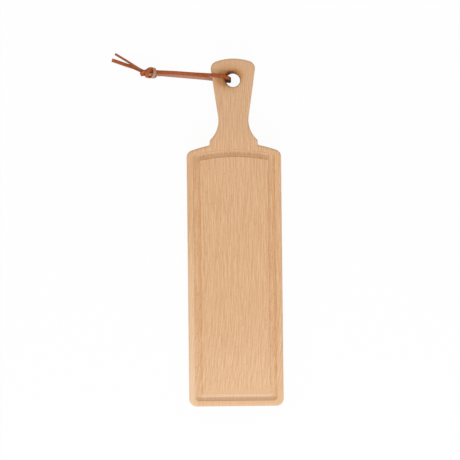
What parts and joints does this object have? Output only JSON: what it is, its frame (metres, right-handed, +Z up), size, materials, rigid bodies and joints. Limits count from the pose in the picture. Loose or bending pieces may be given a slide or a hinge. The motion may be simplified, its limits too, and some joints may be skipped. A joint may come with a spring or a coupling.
{
  "type": "cheese board",
  "caption": "Long wooden cheese board with a waisted handle, a round hanging hole with a knotted leather lace, and a rounded groove around its serving field.",
  "frame": {"origin": "on the table, under the centre of the board's own box, without the lace", "axes": "+Y from the straight end to the handle's end, +X to the right seen from above, +Z up from the table"},
  "size_m": [0.1901, 0.399, 0.0201],
  "materials": {
    "beech": "fine-sanded beech with a thin matte oil",
    "leather": "tan leather lace, smooth on one side"
  },
  "bodies": {
    "board": {"board": "beech"},
    "lace": {"lace_front_strand": "leather", "lace_hole_turn": "leather", "lace_back_strand": "leather", "lace_knot": "leather", "lace_tail_upper": "leather", "lace_tail_lower": "leather"}
  },
  "joints": [
    {"name": "lace_swing", "type": "hinge", "parent": "board", "child": "lace", "pos_m": [0, 0.17097, 0.01003], "axis": [0, -0.007, 1], "range_deg": [-205, 35]}
  ]
}
